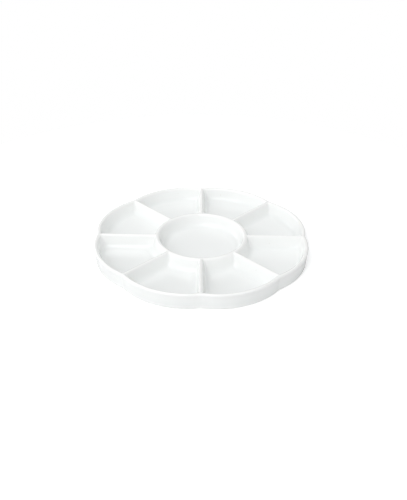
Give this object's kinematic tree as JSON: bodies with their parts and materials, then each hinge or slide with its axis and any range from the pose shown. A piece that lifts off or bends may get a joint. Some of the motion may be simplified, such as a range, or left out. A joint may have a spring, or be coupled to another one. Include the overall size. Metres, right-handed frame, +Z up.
{
  "type": "mixing palette",
  "caption": "Glazed porcelain mixing palette: a ring of sector wells around a round centre well, inside a low rim with soft lobes.",
  "frame": {"origin": "middle of the foot's resting face, on the table under the centre of the round well", "axes": "+Z up through the centre well, and +X along the middle of a divider"},
  "size_m": [0.1734, 0.1734, 0.014],
  "materials": {
    "porcelain": "matt, fired and unglazed, smooth to the touch",
    "glaze": "glossy clear glaze over white porcelain"
  },
  "bodies": {
    "root": {"foot_ring": "porcelain", "well_floor": "porcelain", "outer_rim": "porcelain", "centre_ring": "porcelain", "divider_1": "porcelain", "divider_2": "porcelain", "divider_3": "porcelain", "divider_4": "porcelain", "divider_5": "porcelain", "divider_6": "porcelain", "divider_7": "porcelain", "divider_8": "porcelain", "top_glaze": "glaze", "underside_glaze": "glaze"}
  },
  "joints": []
}
